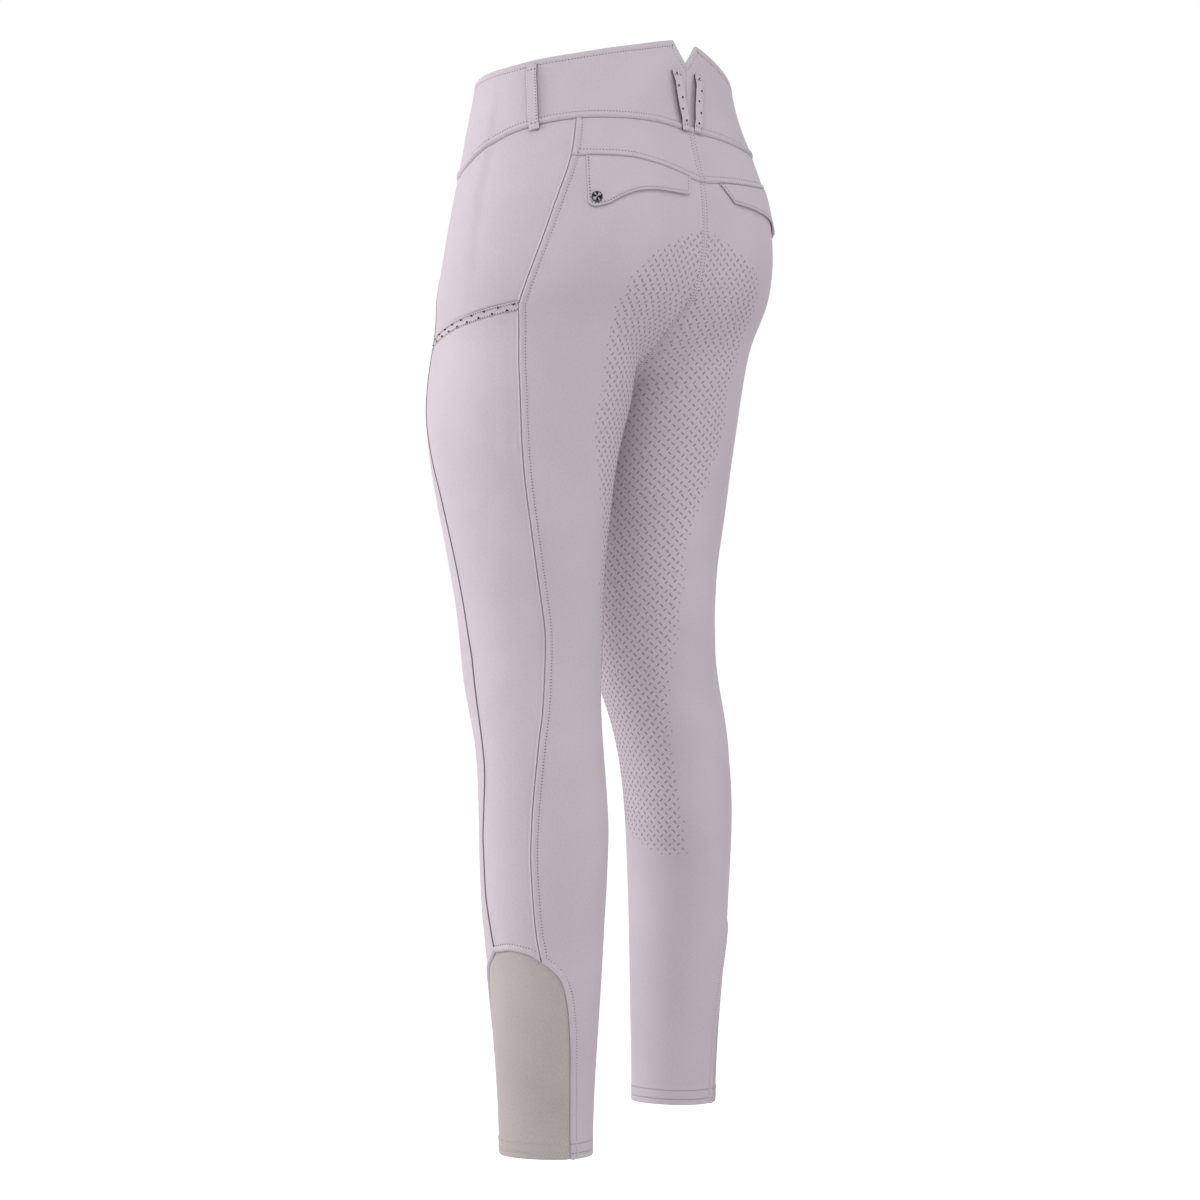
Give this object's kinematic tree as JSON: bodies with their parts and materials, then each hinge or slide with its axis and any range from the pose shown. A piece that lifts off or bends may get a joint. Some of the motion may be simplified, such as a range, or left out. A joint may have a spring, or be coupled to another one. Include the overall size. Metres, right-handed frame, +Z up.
{
  "type": "riding breeches",
  "caption": "High-waisted, full-seat riding breeches as worn: deep waistband with a V notch, yoke flaps with studs, side phone pocket, piping and elastic sock inserts.",
  "frame": {"origin": "middle of the waist, half way up the waistband at the side, where the wearer holds the breeches up", "axes": "+Z up from the hems to the waist, the wearer faces -Y, +X is the wearer's left"},
  "size_m": [0.3412, 0.2518, 1.0137],
  "materials": {
    "softshell": "smooth warp knit with a faint sheen",
    "waistband": "smooth warp knit, two layers",
    "trim": "smooth warp knit, turned edges",
    "lining": "matt lining mesh",
    "sock_knit": "matt thin elastic knit",
    "piping": "dark satin cord",
    "stud": "faceted and polished"
  },
  "bodies": {
    "root": {"waistband_left": "waistband", "waistband_right": "waistband", "yoke_left": "softshell", "yoke_right": "softshell", "front_left": "softshell", "front_right": "softshell", "back_left": "softshell", "back_right": "softshell", "side_upper_left": "softshell", "side_upper_right": "softshell", "side_lower_left": "softshell", "side_lower_right": "softshell", "pocket_mouth_left": "trim", "pocket_mouth_right": "trim", "pocket_bag_left": "lining", "pocket_bag_right": "lining", "sock_left": "sock_knit", "sock_right": "sock_knit", "piping_left": "piping", "piping_right": "piping", "flap_left": "trim", "flap_right": "trim", "stud_left": "stud", "stud_right": "stud", "loop_side_left": "trim", "loop_side_right": "trim", "loop_back_left": "trim", "loop_back_right": "trim", "loop_front_left": "trim", "loop_front_right": "trim"}
  },
  "joints": []
}
